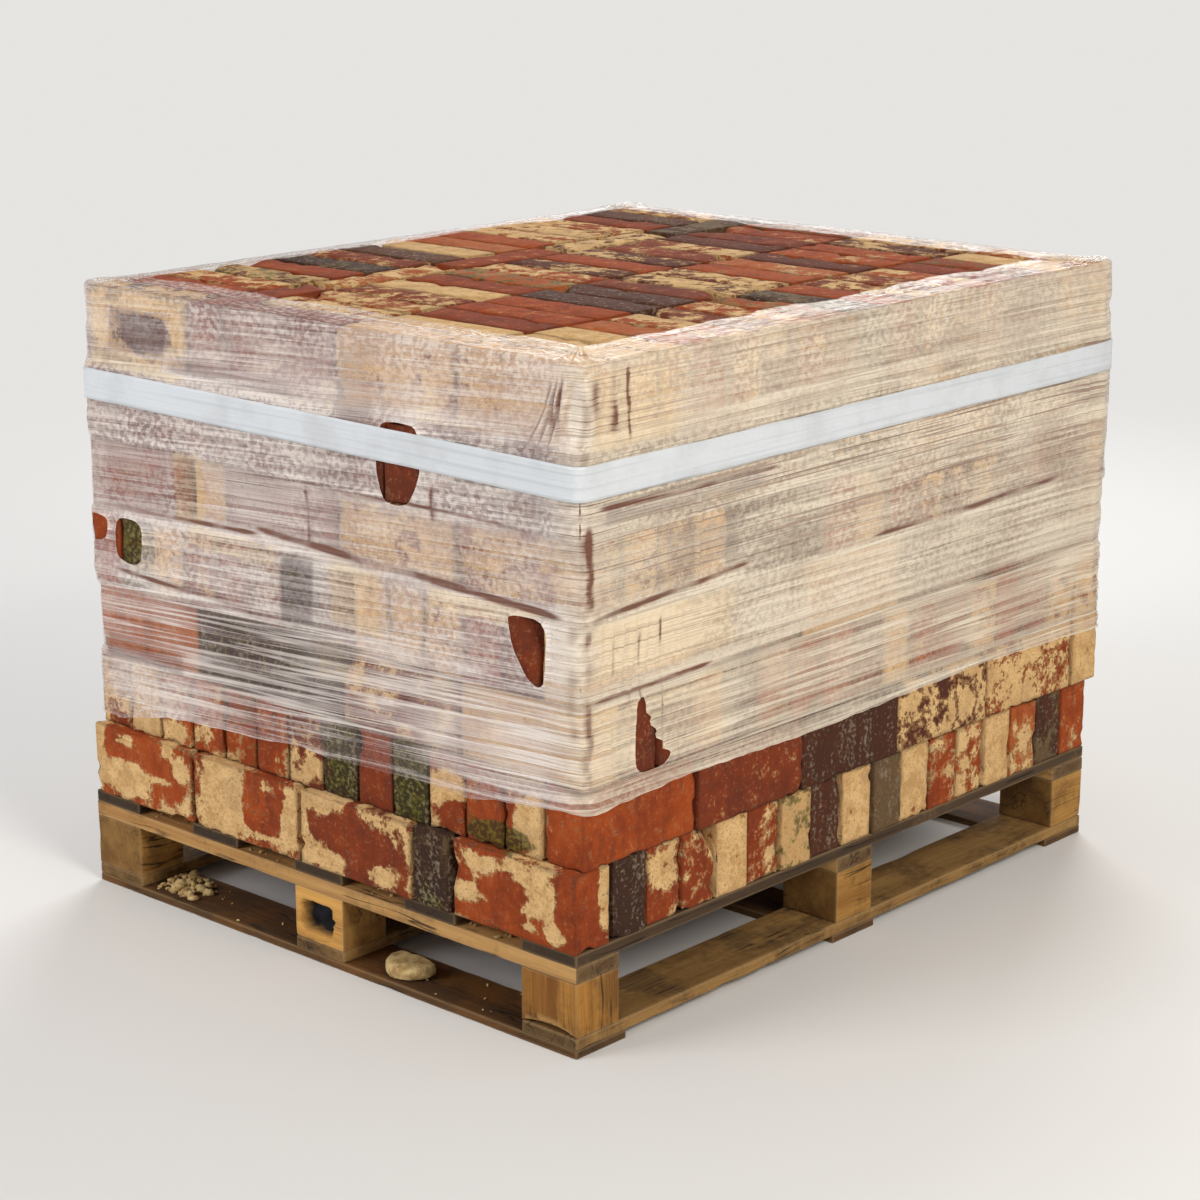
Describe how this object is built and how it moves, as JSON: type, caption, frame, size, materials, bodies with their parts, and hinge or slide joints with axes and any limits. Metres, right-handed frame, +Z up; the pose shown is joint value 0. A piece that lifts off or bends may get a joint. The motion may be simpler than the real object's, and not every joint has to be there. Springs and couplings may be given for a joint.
{
  "type": "pallet of bricks",
  "caption": "Wooden four-way pallet loaded with courses of reclaimed clay bricks stood on edge, wound in torn clear stretch film with one white tape band round it.",
  "frame": {"origin": "on the ground under the middle of the pallet, on the underside of its middle bottom board", "axes": "+Z up, X along the 1000 mm front, +Y from the front to the back of the 1200 mm depth"},
  "size_m": [1.0115, 1.2334, 0.9257],
  "materials": {
    "pallet_wood": "sawn softwood, weathered and dirty",
    "fired_clay": "matt, worn, with old cream mortar",
    "stretch_film": "glossy, drawn tight",
    "tape_band": "satin white tape"
  },
  "bodies": {
    "root": {"front_bottom_board": "pallet_wood", "middle_bottom_board": "pallet_wood", "back_bottom_board": "pallet_wood", "left_skid": "pallet_wood", "middle_skid": "pallet_wood", "right_skid": "pallet_wood", "front_left_block": "pallet_wood", "front_middle_block": "pallet_wood", "front_right_block": "pallet_wood", "middle_left_block": "pallet_wood", "middle_middle_block": "pallet_wood", "middle_right_block": "pallet_wood", "back_left_block": "pallet_wood", "back_middle_block": "pallet_wood", "back_right_block": "pallet_wood", "front_stringer": "pallet_wood", "middle_stringer": "pallet_wood", "back_stringer": "pallet_wood", "deck_board_1": "pallet_wood", "deck_board_2": "pallet_wood", "deck_board_3": "pallet_wood", "deck_board_4": "pallet_wood", "deck_board_5": "pallet_wood", "brick_course_1": "fired_clay", "brick_course_2": "fired_clay", "brick_course_3": "fired_clay", "brick_course_4": "fired_clay", "brick_course_5": "fired_clay", "brick_course_6": "fired_clay", "brick_course_7": "fired_clay", "stretch_film": "stretch_film", "tape_band": "tape_band"}
  },
  "joints": []
}
